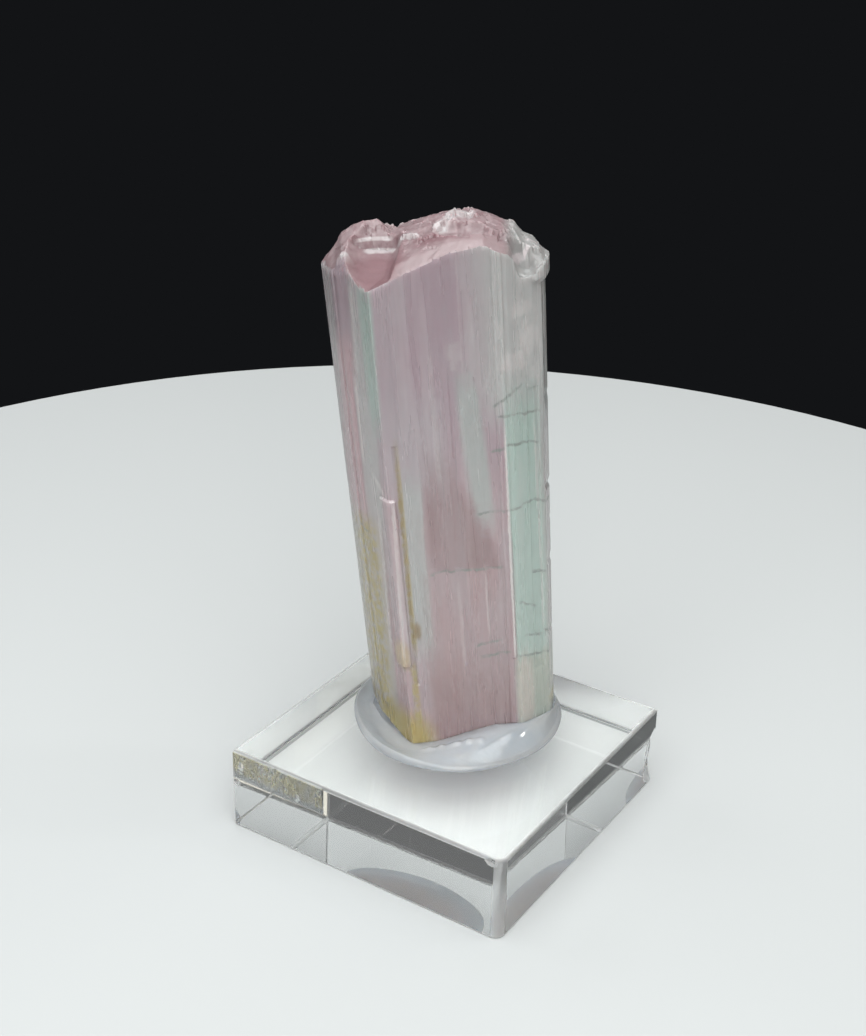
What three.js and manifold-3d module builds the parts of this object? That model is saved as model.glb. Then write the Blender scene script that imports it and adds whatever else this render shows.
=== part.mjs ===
// Tourmaline crystal standing on a clear acrylic block, held upright by a pad of translucent putty.
// Millimetres, +Z up. The origin is the centre of the block's underside, and the block's sides lie along X and Y.
import * as THREE from 'three';
import { mergeVertices } from 'three/addons/utils/BufferGeometryUtils.js';
import Module from 'manifold-3d';

const wasm = await Module();
wasm.setup();

// Acrylic block
const BLOCK_SIDE = 35;
const BLOCK_HEIGHT = 10;
const BLOCK_BEVEL = 0.4;
const BEVEL_STEPS = 2;
const CORNER_ROUND = 1.2;
const CORNER_STEPS = 6;

// Chips knocked off the block's edges, each a small lump taken away at this centre
const BLOCK_CHIPS = [
  { at: [18.1, 17.4, 3.6], size: [1.3, 2.7, 4.6] },
  { at: [17.65, -3.3, 10.2], size: [0.4, 0.6, 0.45] },
  { at: [-2.7, -17.7, 10.2], size: [0.7, 0.45, 0.45] },
  { at: [-10.4, -17.7, 10.1], size: [0.6, 0.4, 0.4] },
  { at: [16.2, -17.7, 9.5], size: [0.9, 0.45, 0.6] },
  { at: [-16.3, -17.7, 8.2], size: [0.6, 0.45, 0.7] },
  { at: [-16.9, -17.7, 5.9], size: [0.6, 0.5, 0.45] },
  { at: [-8.6, -17.65, 7.2], size: [0.5, 0.35, 0.6] },
];

// Putty pad: a foot pressed on the block, a wider round bulge, and a lip that is raised on the left
const PAD_CENTRE = [-0.12, 1.71];
const PAD_FOOT_RADIUS = 9.6;
const PAD_RADIUS = 11.7;
const PAD_BULGE_HEIGHT = 1.15;
const PAD_LIP_HEIGHT = 2.0;
const PAD_SHOULDER_HEIGHT = 3.3;
const PAD_SIDES = 60;

// Gap that the putty keeps to the crystal's foot, below it and around its widest strips
const CLEARANCE = 0.3;
const SOCKET_GROWTH = 0.65;
const SOCKET_TOP = 8;

// Crystal frame: r runs to the right and f away from the viewer, both turned about Z, and h is the height
// above the block. The prism leans towards -r as it rises, and widens from foot to top.
const TURN = THREE.MathUtils.degToRad(33.25);
const FOOT = [1.73, 0.7];
const LEAN = -0.0914;
const FOOT_SCALE = 0.963;
const SCALE_PER_MM = 0.00185;

// Corners of the rounded triangular section [r, f], anticlockwise from the back left
const SECTION = [
  [-10.4, 4.2],
  [-10.75, 2.0],
  [-9.5, -1.2],
  [-8.3, -3.0],
  [-6.0, -6.2],
  [6.7, -3.6],
  [10.2, -0.6],
  [10.75, 1.5],
  [9.2, 6.0],
  [4.0, 8.6],
  [-2.5, 9.4],
  [-7.8, 7.8],
];

// Striations: flat strips along the prism, each sunk by its own small depth
const STRIP_WIDTH = 1.7;
const STRIP_DEPTH = 0.15;
const STRIP_STEP = 0.1;

// Plain upper end of the prism, above everything that is broken away
const PRISM_TOP = 62;

// Ribs (raised) and seams (sunk) on the front, between two values of r and two heights
const RIBS = [
  { r: [-9.3, -8.75], h: [4, PRISM_TOP], raise: 0.18 },
  { r: [-6.95, -5.3], h: [11.2, 31], raise: 0.26 },
  { r: [-5.05, -4.65], h: [8.8, 37], raise: -0.2 },
  { r: [5.95, 6.3], h: [11.2, PRISM_TOP], raise: 0.16 },
  { r: [8.4, 9.6], h: [8.8, 42], raise: -0.1 },
  { r: [9.3, 10.9], h: [53.2, 60], raise: 0.45 },
];
const FRONT_LIMIT = 1.6;
const WALL_ROWS = [4, 8.8, 11.2, 16, 21, 26, 31, 37, 42, 47, 53.2];
const ROW_STEP = 0.2;

// Broken top: the height of its front rim and of its crest, as [r, h] along the crystal
const RIM = [
  [-10.8, 52.6],
  [-9.0, 53.4],
  [-7.8, 54.4],
  [-6.6, 53.1],
  [-5.8, 53.4],
  [-2.3, 55.0],
  [1.6, 56.8],
  [4.7, 57.4],
  [7.0, 56.4],
  [8.2, 54.8],
  [8.8, 53.9],
  [11.0, 55.2],
];
const CREST = [
  [-11.0, 53.0],
  [-9.3, 55.2],
  [-8.4, 56.6],
  [-7.2, 57.4],
  [-4.9, 57.9],
  [-3.9, 56.9],
  [-1.5, 57.8],
  [2.2, 59.1],
  [4.9, 59.0],
  [7.8, 58.0],
  [8.5, 57.0],
  [10.3, 55.8],
  [11.0, 55.3],
];
const CREST_LINE = 2.0;
const CREST_FALL = 0.27;
const BEVEL_REACH = 0.16;
const BEVEL_SHARE = 0.38;

// Scoop in the left of the top: a shallow bowl from the front rim, ended behind by a broken ledge
const SCOOP_LOW = 53.3;
const SCOOP_RISE = 0.3;
const SCOOP_FRONT = [-5.9, -6.0];
const SCOOP_DRIFT = 0.16;
const SCOOP_FLOOR = 0.9;
const SCOOP_BANK = { left: 0.35, right: 0.9 };
const LEDGE = [
  [-9.0, -0.4],
  [-7.6, 0.4],
  [-5.2, 0.9],
  [-3.2, 0.5],
  [-1.0, -1.2],
];
const LEDGE_STEEP = 6;
const LEDGE_RISE = 0.8;
const LEDGE_BACK = 0.9;

// Conchoidal hollows broken out of the top: centre [r, f], half widths, lowest height and rise at the edge
const HOLLOW_UNEVEN = 0.12;
const HOLLOWS = [
  { at: [8.7, -2.0], half: [1.2, 1.9], low: 53.7, rise: 1.3 },
  { at: [-6.2, 7.8], half: [3.4, 2.9], low: 53.4, rise: 1.5 },
  { at: [5.6, 7.4], half: [2.9, 2.4], low: 55.3, rise: 1.2 },
  { at: [0.6, 6.2], half: [2.5, 2.1], low: 56.6, rise: 0.9 },
  { at: [2.6, -1.4], half: [2.8, 1.3], low: 57.3, rise: 0.7 },
];

// The broken surface is a net of uneven facets about this wide, each corner off by a little
const FACET_SIZE = 0.85;
const FACET_SHIFT = 0.5;
const FACET_ROUGHNESS = 0.16;
const NET_SIZE = [24, 20];

// Broken foot, bedded in the putty
const FOOT_LOW = 0.95;
const FOOT_TILT = [0.05, 0.08];
const FOOT_CHAMFER_FROM = -6.5;
const FOOT_CHAMFER = 0.35;
const CAP_RINGS = 4;

// Same value between 0 and 1 every time for the same number
function scatter(n) {
  const value = Math.sin(n * 12.9898) * 43758.5453;
  return value - Math.floor(value);
}

// Height at r on a line of [r, h] points
function alongLine(line, r) {
  const last = line.findIndex(([pointR]) => pointR >= r);
  if (last === 0) return line[0][1];
  if (last < 0) return line[line.length - 1][1];
  const [r0, h0] = line[last - 1];
  const [r1, h1] = line[last];
  return h0 + ((h1 - h0) * (r - r0)) / (r1 - r0);
}

// Front side of the section: the f of its wall at this r
const FRONT_WALL = SECTION.slice(1, 8);

// Height of the scoop's surface, and of the slope behind its ledge
function scoopHeight(r, f, rim) {
  const aside = r - SCOOP_FRONT[0] - SCOOP_DRIFT * (f - SCOOP_FRONT[1]);
  const bank = aside > 0 ? SCOOP_BANK.right : SCOOP_BANK.left;
  const side = bank * Math.max(Math.abs(aside) - SCOOP_FLOOR, 0) ** 2;
  const bowl = Math.max(SCOOP_LOW + SCOOP_RISE * (f - SCOOP_FRONT[1]) + side, rim);
  const behind = Math.max(f - alongLine(LEDGE, r), 0);
  return bowl + Math.min(LEDGE_STEEP * behind, LEDGE_RISE) + LEDGE_BACK * behind;
}

// Height of the broken top over the point [r, f] of the section
function topHeight(r, f) {
  const crest = alongLine(CREST, r);
  const rim = alongLine(RIM, r);
  const wall = alongLine(FRONT_WALL, r);
  const share = THREE.MathUtils.clamp((f - wall) / (CREST_LINE - wall), 0, 1);
  const bevel = Math.min(share / BEVEL_REACH, 1) * BEVEL_SHARE;
  const slope = Math.max(share - BEVEL_REACH, 0) / (1 - BEVEL_REACH) * (1 - BEVEL_SHARE);
  let height = rim + (crest - rim) * (bevel + slope) - CREST_FALL * Math.max(f - CREST_LINE, 0);
  for (const { at, half, low, rise } of HOLLOWS) {
    const turn = Math.atan2(f - at[1], r - at[0]);
    const uneven = 1 + HOLLOW_UNEVEN * (Math.sin(3 * turn + at[0]) + Math.sin(5 * turn + at[1]));
    const spread = (((r - at[0]) / half[0]) ** 2 + ((f - at[1]) / half[1]) ** 2) * uneven;
    height = Math.min(height, low + rise * spread ** 2);
  }
  return Math.min(height, scoopHeight(r, f, rim));
}

// Height of the broken foot under the point [r, f] of the section
function footHeight(r, f) {
  const tilt = FOOT_TILT[0] * (r + 7) + FOOT_TILT[1] * (f + 6);
  return FOOT_LOW + tilt + FOOT_CHAMFER * Math.max(FOOT_CHAMFER_FROM - r, 0);
}

// How far ribs and seams raise the front wall at this place
function ribHeight(r, f, h) {
  if (f > FRONT_LIMIT) return 0;
  return RIBS.filter((rib) => r > rib.r[0] && r < rib.r[1] && h > rib.h[0] && h < rib.h[1])
    .reduce((sum, rib) => sum + rib.raise, 0);
}

// Places along one side of the section where a strip or a rib begins, as shares of the side
function breaksOnSide(start, end, sideNumber) {
  const length = Math.hypot(end[0] - start[0], end[1] - start[1]);
  const count = Math.max(1, Math.round(length / STRIP_WIDTH));
  const breaks = [];
  for (let k = 1; k < count; k += 1) {
    breaks.push((k + 0.6 * (scatter(sideNumber * 31 + k) - 0.5)) / count);
  }
  if (Math.min(start[1], end[1]) < FRONT_LIMIT) {
    for (const edge of RIBS.flatMap((rib) => rib.r)) {
      const share = (edge - start[0]) / (end[0] - start[0]);
      if (share > 0 && share < 1) breaks.push(share);
    }
  }
  return { length, breaks: breaks.sort((a, b) => a - b) };
}

// The section's outline with its strips: points [r, f] with the outward normal and the strip's depth
function stripedOutline() {
  const points = [];
  SECTION.forEach((start, side) => {
    const end = SECTION[(side + 1) % SECTION.length];
    const { length, breaks } = breaksOnSide(start, end, side);
    const normal = [(end[1] - start[1]) / length, -(end[0] - start[0]) / length];
    const gap = STRIP_STEP / length;
    let depth = STRIP_DEPTH * scatter(side * 17 + 3);
    const addPoint = (share) => points.push({
      r: start[0] + (end[0] - start[0]) * share,
      f: start[1] + (end[1] - start[1]) * share,
      normal,
      depth,
    });
    addPoint(gap);
    breaks.forEach((share, k) => {
      const before = k === 0 ? gap : breaks[k - 1];
      const after = k === breaks.length - 1 ? 1 - gap : breaks[k + 1];
      if (share - before < 3 * gap || after - share < 3 * gap) return;
      addPoint(share - gap);
      depth = STRIP_DEPTH * scatter(side * 17 + k * 5 + 11);
      addPoint(share + gap);
    });
    addPoint(1 - gap);
  });
  return points;
}

// Crystal frame to millimetres in the part's own frame
function place(r, f, h) {
  const scale = FOOT_SCALE + SCALE_PER_MM * h;
  const right = FOOT[0] + r * scale + LEAN * h;
  const away = FOOT[1] + f * scale;
  return [
    right * Math.cos(TURN) - away * Math.sin(TURN),
    right * Math.sin(TURN) + away * Math.cos(TURN),
    BLOCK_HEIGHT + h,
  ];
}

// A closed solid from rings of places, lowest first, ended by one middle point at each end
function loft(rings, lowMiddle, highMiddle) {
  const count = rings[0].length;
  const vertices = [...rings.flat(), lowMiddle, highMiddle];
  const triangles = [];
  for (let j = 0; j + 1 < rings.length; j += 1) {
    for (let i = 0; i < count; i += 1) {
      const next = (i + 1) % count;
      const [a, b] = [j * count + i, j * count + next];
      triangles.push(a, b, b + count, a, b + count, a + count);
    }
  }
  const low = rings.length * count;
  const lastRing = low - count;
  for (let i = 0; i < count; i += 1) {
    const next = (i + 1) % count;
    triangles.push(low, next, i);
    triangles.push(low + 1, lastRing + i, lastRing + next);
  }
  const geometry = new THREE.BufferGeometry();
  geometry.setAttribute('position', new THREE.Float32BufferAttribute(vertices.flat(), 3));
  geometry.setIndex(triangles);
  return geometry;
}

// Rings of a cap, from the wall's edge towards the middle of the section
function capRings(edge, height) {
  const rings = [];
  for (let k = 1; k < CAP_RINGS; k += 1) {
    const share = 1 - k / CAP_RINGS;
    rings.push(edge.map(({ r, f }) => place(r * share, f * share, height(r * share, f * share))));
  }
  return rings;
}

// The striated prism from its broken foot to a plain upper end
function prismGeometry() {
  const outline = stripedOutline();
  const wallPoint = (point, h) => {
    const out = ribHeight(point.r, point.f, h) - point.depth;
    return place(point.r + point.normal[0] * out, point.f + point.normal[1] * out, h);
  };
  const foot = outline.map((point) => wallPoint(point, footHeight(point.r, point.f)));
  const heights = [...WALL_ROWS.flatMap((h) => [h - ROW_STEP / 2, h + ROW_STEP / 2]), PRISM_TOP];
  const wall = heights.map((h) => outline.map((point) => wallPoint(point, h)));
  const rings = [...capRings(outline, footHeight).reverse(), foot, ...wall];
  return loft(rings, place(0, 0, footHeight(0, 0)), place(0, 0, PRISM_TOP));
}

// What is broken away: everything above the net of facets that follows topHeight
function brokenAwayGeometry() {
  const [width, depth] = NET_SIZE;
  const geometry = new THREE.BoxGeometry(
    width, depth, 1, Math.round(width / FACET_SIZE), Math.round(depth / FACET_SIZE), 1,
  );
  const position = geometry.attributes.position;
  for (let i = 0; i < position.count; i += 1) {
    const [x, y] = [position.getX(i), position.getY(i)];
    const seed = Math.round(x * 10) * 7 + Math.round(y * 10) * 131;
    const r = x + FACET_SIZE * FACET_SHIFT * (scatter(seed) - 0.5);
    const f = y + FACET_SIZE * FACET_SHIFT * (scatter(seed + 1) - 0.5);
    const facet = topHeight(r, f) + FACET_ROUGHNESS * (scatter(seed + 2) - 0.5);
    position.setXYZ(i, ...place(r, f, position.getZ(i) < 0 ? facet : PRISM_TOP + 2));
  }
  return geometry;
}

// The room that the crystal's foot takes up in the putty, with the clearance around it
function socketGeometry() {
  const grown = SECTION.map(([r, f]) => {
    const share = 1 + SOCKET_GROWTH / Math.hypot(r, f);
    return { r: r * share, f: f * share };
  });
  const bottom = (r, f) => footHeight(r, f) - CLEARANCE;
  const low = grown.map(({ r, f }) => place(r, f, bottom(r, f)));
  const high = grown.map(({ r, f }) => place(r, f, SOCKET_TOP));
  const rings = [...capRings(grown, bottom).reverse(), low, high];
  return loft(rings, place(0, 0, bottom(0, 0)), place(0, 0, SOCKET_TOP));
}

// Height of the putty's lip and of its shoulder by direction: dished on the left, swollen at the front right
function padHeights(angle) {
  const swell = 0.5 + 0.5 * Math.cos(angle - THREE.MathUtils.degToRad(-35));
  const dish = 0.5 + 0.5 * Math.cos(angle - THREE.MathUtils.degToRad(-160));
  return {
    lip: PAD_LIP_HEIGHT + 0.45 * dish ** 2 - 0.25 * swell,
    shoulder: PAD_SHOULDER_HEIGHT - 1.35 * dish - 0.2 * swell,
  };
}

// Solid putty before the crystal's foot is taken out of it
function padGeometry() {
  const ring = (radius, height) => Array.from({ length: PAD_SIDES }, (_, i) => {
    const angle = (i / PAD_SIDES) * Math.PI * 2;
    const wobble = 1 + 0.018 * Math.sin(2 * angle + 0.6) + 0.012 * Math.sin(3 * angle + 2.0);
    const reach = radius(angle) * wobble;
    return [
      PAD_CENTRE[0] + reach * Math.cos(angle),
      PAD_CENTRE[1] + reach * Math.sin(angle),
      BLOCK_HEIGHT + height(angle),
    ];
  });
  const rings = [
    ring(() => PAD_FOOT_RADIUS * 0.5, () => 0),
    ring(() => PAD_FOOT_RADIUS, () => 0),
    ring(() => PAD_FOOT_RADIUS + 1.2, () => 0.35),
    ring(() => PAD_RADIUS - 0.25, () => PAD_BULGE_HEIGHT * 0.75),
    ring(() => PAD_RADIUS, () => PAD_BULGE_HEIGHT),
    ring(() => PAD_RADIUS - 0.1, (a) => (PAD_BULGE_HEIGHT + padHeights(a).lip) / 2),
    ring(() => PAD_RADIUS - 0.6, (a) => padHeights(a).lip),
    ring(() => PAD_RADIUS - 1.3, (a) => padHeights(a).lip * 0.6 + padHeights(a).shoulder * 0.4),
    ring(() => PAD_RADIUS - 2.4, (a) => padHeights(a).lip * 0.2 + padHeights(a).shoulder * 0.8),
    ring(() => PAD_RADIUS - 4.4, (a) => padHeights(a).shoulder),
    ring(() => 3, () => PAD_SHOULDER_HEIGHT - 0.4),
  ];
  const middle = (height) => [PAD_CENTRE[0], PAD_CENTRE[1], BLOCK_HEIGHT + height];
  return loft(rings, middle(0), middle(PAD_SHOULDER_HEIGHT - 0.4));
}

// Square block with softened edges, and one vertical edge rounded more than the others
function blockGeometry() {
  const half = BLOCK_SIDE / 2 - BLOCK_BEVEL;
  const radius = CORNER_ROUND - BLOCK_BEVEL;
  const corner = Array.from({ length: CORNER_STEPS + 1 }, (_, i) => {
    const angle = (i / CORNER_STEPS - 1) * Math.PI / 2;
    return new THREE.Vector2(half - radius + radius * Math.cos(angle), radius - half + radius * Math.sin(angle));
  });
  const square = new THREE.Shape([
    new THREE.Vector2(-half, -half),
    ...corner,
    new THREE.Vector2(half, half),
    new THREE.Vector2(-half, half),
  ]);
  const geometry = new THREE.ExtrudeGeometry(square, {
    depth: BLOCK_HEIGHT - 2 * BLOCK_BEVEL,
    bevelThickness: BLOCK_BEVEL,
    bevelSize: BLOCK_BEVEL,
    bevelSegments: BEVEL_STEPS,
  });
  return geometry.translate(0, 0, BLOCK_BEVEL);
}

// One chip: a faceted lump with its own uneven turn
function chipGeometry({ at, size }) {
  const geometry = new THREE.IcosahedronGeometry(1, 1);
  return geometry.rotateX(0.4).rotateZ(0.7).scale(...size).translate(...at);
}

function toSolid(geometry) {
  const bare = geometry.clone();
  bare.deleteAttribute('normal');
  bare.deleteAttribute('uv');
  const merged = mergeVertices(bare, 1e-4);
  return new wasm.Manifold(new wasm.Mesh({
    numProp: 3,
    vertProperties: new Float32Array(merged.attributes.position.array),
    triVerts: new Uint32Array(merged.index.array),
  }));
}

function toGeometry(solid) {
  const { vertProperties, triVerts } = solid.getMesh();
  const geometry = new THREE.BufferGeometry();
  geometry.setAttribute('position', new THREE.BufferAttribute(vertProperties, 3));
  geometry.setIndex(new THREE.BufferAttribute(triVerts, 1));
  return geometry;
}

function namedMesh(name, geometry, look) {
  const mesh = new THREE.Mesh(geometry, new THREE.MeshStandardMaterial(look));
  mesh.name = name;
  return mesh;
}

const block = BLOCK_CHIPS.reduce(
  (solid, chip) => solid.subtract(toSolid(chipGeometry(chip))),
  toSolid(blockGeometry()),
);
const pad = toSolid(padGeometry()).subtract(toSolid(socketGeometry()));
const crystal = toSolid(prismGeometry()).subtract(toSolid(brokenAwayGeometry()));

const group = new THREE.Group();
group.add(namedMesh('acrylic_base', toGeometry(block), { color: 0xe4eaea, roughness: 0.03, metalness: 0 }));
group.add(namedMesh('putty_pad', toGeometry(pad), { color: 0xb9c0d0, roughness: 0.18, metalness: 0 }));
group.add(namedMesh('tourmaline_crystal', toGeometry(crystal), { color: 0xbf9fa6, roughness: 0.22, metalness: 0 }));

export default group;
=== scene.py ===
import math

import bmesh
import bpy
import numpy as np
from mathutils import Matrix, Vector
from mathutils.geometry import delaunay_2d_cdt


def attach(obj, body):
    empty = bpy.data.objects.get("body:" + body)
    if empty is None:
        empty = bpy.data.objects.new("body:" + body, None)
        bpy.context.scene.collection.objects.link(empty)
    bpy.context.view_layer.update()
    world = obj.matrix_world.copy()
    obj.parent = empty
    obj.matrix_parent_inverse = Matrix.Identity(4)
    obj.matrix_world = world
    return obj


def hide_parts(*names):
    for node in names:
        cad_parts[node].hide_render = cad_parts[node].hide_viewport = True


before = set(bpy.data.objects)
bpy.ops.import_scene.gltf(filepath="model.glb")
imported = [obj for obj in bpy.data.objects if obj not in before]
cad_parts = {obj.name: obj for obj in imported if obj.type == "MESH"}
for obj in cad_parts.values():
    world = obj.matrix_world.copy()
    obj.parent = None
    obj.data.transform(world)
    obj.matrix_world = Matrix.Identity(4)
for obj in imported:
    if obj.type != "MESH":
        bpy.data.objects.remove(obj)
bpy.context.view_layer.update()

MM = 0.001

# Camera, solved from the block's corners in the photograph
CAMERA_PLACE = (82.2, -133.2, 112.95)
CAMERA_TURN = (63.96, -1.29, 33.25)
CAMERA_LENS = 56.9

# Acrylic block
BLOCK_SIDE = 35.0
BLOCK_HEIGHT = 10.0
# Radius of the top edges, of the other edges, and of the upright edge nearest the camera
BLOCK_BEVEL = 0.4
SHARP_BEVEL = 0.18
CORNER_ROUND = 1.2
# Upright edges: sign of x, sign of y, radius, steps round the edge
BLOCK_CORNERS = [
    (1, -1, CORNER_ROUND, 24),
    (1, 1, SHARP_BEVEL, 3),
    (-1, 1, SHARP_BEVEL, 3),
    (-1, -1, SHARP_BEVEL, 3),
]
LEAST_RADIUS = 0.02
BOTTOM_STEPS = 3
TOP_STEPS = 4
# Chips out of the block: place, half sizes
BLOCK_CHIPS = [
    ((18.1, 17.4, 3.6), (1.3, 2.7, 4.6)),
    ((17.65, -3.3, 10.2), (0.4, 0.6, 0.45)),
    ((-2.7, -17.7, 10.2), (0.7, 0.45, 0.45)),
    ((-10.4, -17.7, 10.1), (0.6, 0.4, 0.4)),
    ((16.2, -17.7, 9.5), (0.9, 0.45, 0.6)),
    ((-16.3, -17.7, 8.2), (0.6, 0.45, 0.7)),
    ((-16.9, -17.7, 5.9), (0.6, 0.5, 0.45)),
    ((-8.6, -17.65, 7.2), (0.5, 0.35, 0.6)),
]
LUMP_WAVE = 0.05
LUMP_RIPPLE = 0.03
# Small pits in the rough patch of the front left wall: how many, and from where to where along x and z
PIT_COUNT = 30
PIT_X = (-17.0, -5.0)
PIT_Z = (6.9, 9.4)
PIT_Y = -17.52
PIT_DEPTH = 0.14
PIT_HALF_WIDTH = 0.16
PIT_HALF_LENGTH = 0.2
PIT_MORE_LENGTH = 0.55

# Crystal frame: r runs right and f away from the viewer, turned about Z; h is the height above the block
TURN = math.radians(33.25)
FOOT = (1.73, 0.7)
LEAN = -0.0914
FOOT_SCALE = 0.963
SCALE_PER_MM = 0.00185

# Corners of the section [r, f], anticlockwise from the back left, as in the solid
SECTION = [
    (-10.4, 4.2), (-10.75, 2.0), (-9.5, -1.2), (-8.3, -3.0),
    (-6.0, -6.2), (6.7, -3.6), (10.2, -0.6), (10.75, 1.5),
    (9.2, 6.0), (4.0, 8.6), (-2.5, 9.4), (-7.8, 7.8),
]

# Broad strips, as in the solid, and the fine striations inside each of them
STRIP_WIDTH = 1.7
STRIP_DEPTH = 0.15
STRIP_STEP = 0.1
STRIP_SHAKE = 0.6
STRIATION_WIDTH = 0.6
STRIATION_DEPTH = 0.035
STRIATION_STEP = 0.1
STRIATION_SHAKE = 0.7
STRIATION_LENGTH = 17.0

# Ribs (raised) and seams (sunk) on the front: r from, r to, h from, h to, raise
RIBS = [
    (-9.3, -8.75, 4.0, 62.0, 0.18),
    (-6.95, -5.3, 11.2, 31.0, 0.26),
    (-5.05, -4.65, 8.8, 37.0, -0.2),
    (5.95, 6.3, 11.2, 62.0, 0.16),
    (8.4, 9.6, 8.8, 42.0, -0.1),
    (9.3, 10.9, 53.2, 60.0, 0.45),
]
FRONT_LIMIT = 1.6
RIB_ENDS = (8.8, 11.2, 31.0, 37.0, 42.0)
ROW_STEP = 0.2
ROW_GAP = 0.45

# Small notches in the right corner: h, half height, depth
NOTCHES = [(30.2, 0.5, 0.28), (21.3, 0.45, 0.24), (25.9, 0.3, 0.1), (12.6, 0.25, 0.12), (40.3, 0.4, 0.12)]
NOTCH_CENTRE = 10.75
NOTCH_REACH = 1.1
WALL_FROM = 4.0
WALL_TO = 50.6
CROWN_ROWS = 12
CRYSTAL_SHARP = 22

# Broken top: height of the front rim and of the crest, (r, h)
RIM = [
    (-10.8, 52.6), (-9.0, 53.4), (-7.8, 54.4), (-6.6, 53.1),
    (-5.8, 53.4), (-2.3, 55.0), (1.6, 56.8), (4.7, 57.4),
    (7.0, 56.4), (8.2, 54.8), (8.8, 53.9), (11.0, 55.2),
]
CREST = [
    (-11.0, 53.0), (-9.3, 55.2), (-8.4, 56.6), (-7.2, 57.4), (-4.9, 57.9),
    (-3.9, 56.9), (-1.5, 57.8), (2.2, 59.1), (4.9, 59.0), (7.8, 58.0),
    (8.5, 57.0), (10.3, 55.8), (11.0, 55.3),
]
CREST_LINE = 2.0
CREST_FALL = 0.27
BEVEL_REACH = 0.16
BEVEL_SHARE = 0.38

# Scoop in the left of the top: a shallow bowl that rises away from the front and ends at a ledge
SCOOP_LOW = 53.3
SCOOP_RISE = 0.30
SCOOP_FRONT = (-5.9, -6.0)
SCOOP_DRIFT = 0.16
SCOOP_FLOOR = 0.9
SCOOP_LEFT = 0.35
SCOOP_RIGHT = 0.9
LEDGE_STEEP = 6.0
LEDGE_RISE = 0.8
LEDGE_BACK = 0.9
LEDGE = [(-9.0, -0.4), (-7.6, 0.4), (-5.2, 0.9), (-3.2, 0.5), (-1.0, -1.2)]

# Conchoidal hollows: r, f, half width, half depth, lowest height, rise at the edge
HOLLOWS = [
    (8.7, -2.0, 1.2, 1.9, 53.7, 1.3),
    (-6.2, 7.8, 3.4, 2.9, 53.4, 1.5),
    (5.6, 7.4, 2.9, 2.4, 55.3, 1.2),
    (0.6, 6.2, 2.5, 2.1, 56.6, 0.9),
    (2.6, -1.4, 2.8, 1.3, 57.3, 0.7),
]
HOLLOW_UNEVEN = 0.12
CAP_GRID = 0.15
CAP_SHAKE = 0.6

# Broken steps on the top: behind the line from (r, f) to (r, f) the surface stands higher by the third
# number, and falls back over the distance of the fourth
STEPS = [
    ((-6.6, 1.4), (-3.8, 1.7), 0.25, 0.8),
    ((-3.2, 0.1), (-1.2, -1.3), 0.45, 1.6),
    ((-1.2, -1.6), (3.6, -2.2), 0.30, 1.5),
    ((0.5, -0.9), (2.6, 1.5), 0.45, 1.3),
    ((2.2, 1.2), (4.6, 0.9), 0.40, 1.1),
    ((5.4, -2.2), (7.6, 0.4), 0.28, 1.2),
    ((7.2, -1.6), (10.4, 0.9), 0.35, 1.0),
    ((-8.9, -1.2), (-7.9, -2.6), 0.40, 0.9),
    ((-6.5, 4.5), (-1.0, 5.2), 0.35, 1.4),
    ((1.5, 4.2), (6.5, 5.0), 0.35, 1.4),
]
STEP_WAVE = 0.12
STEP_RIPPLE = 0.07
STEP_OVERRUN = 0.05

# Chips: the top is broken into small tilted faces
CHIP_SIZE = 1.25
CHIP_MARGIN = 0.15
CHIP_SPREAD = 0.7
CHIP_STRETCH = 0.75
CHIP_TILT = 0.16
CHIP_LEVEL = 0.11
RIPPLE = 0.02
# Share of the chips in the scoop and on the front bevel, and what is added at the right lip
SMOOTH_SPAN = (-8.0, -2.6)
SCOOP_CHIPS = 0.12
BEVEL_CHIPS = 0.3
LIP_CHIPS = 0.9
LIP_FROM = 6.5

# Broken foot in the putty
FOOT_LOW = 0.95
FOOT_TILT = (0.05, 0.08)
FOOT_CORNER = (-7, -6)
FOOT_CHAMFER_FROM = -6.5
FOOT_CHAMFER = 0.35

# Putty: its middle in the crystal frame, and sizes by direction in that frame (degrees, 0 right, 90 away)
PAD_MIDDLE = (-0.89, 0.8)
PAD_FOOT_RADIUS = 9.6
PAD_RADIUS = 11.7
PAD_UNDERSIDE = 0.95
# Waves that make the rim uneven: share of the radius, waves in a turn, start
PAD_WAVES = [(0.015, 2, 0.4), (0.010, 3, 1.4), (0.004, 7, 0.0)]
PAD_SPOKES = 240
PAD_SHARP = 50
PAD_EDGE = 0.45
PAD_BED = 0.3
PAD_ROUND = 0.06
PAD_TOP_STEPS = 46
PAD_EDGE_STEPS = 8
# Height where the putty meets the crystal, height of the rim, and swelling between the two
PAD_TOUCH = [
    (-180, 1.5), (-150, 1.4), (-120, 1.5), (-90, 2.3), (-50, 3.0),
    (0, 2.7), (60, 2.3), (120, 1.9), (180, 1.5),
]
PAD_LIP = [
    (-180, 2.5), (-140, 2.2), (-100, 1.7), (-60, 1.5), (-20, 1.7),
    (30, 2.2), (90, 2.0), (140, 2.3), (180, 2.5),
]
PAD_SWELL = [
    (-180, -0.5), (-140, -0.35), (-110, 0.1), (-80, 0.6), (-40, 0.7),
    (0, 0.4), (60, 0.2), (120, -0.2), (180, -0.5),
]
# A pinched fold in the putty, (r, f) to (r, f) in front of the crystal
FOLD = ((-4.9, -7.45), (2.3, -7.15))
FOLD_RAISE = 0.34
FOLD_WIDTH = 0.38
FOLD_END = 0.8
FOLD_UNEVEN = 0.35
# How far the putty goes into the block's top, and stays from the crystal
PAD_SINK = 0.04
PAD_GAP = 0.03


def scatter(n):
    """The same value between 0 and 1 every time for the same number."""
    value = math.sin(n * 12.9898) * 43758.5453
    return value - math.floor(value)


def along(line, r):
    """Height at r on a line of (r, h) points."""
    return np.interp(r, [p[0] for p in line], [p[1] for p in line])


FRONT_WALL = SECTION[1:8]


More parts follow.
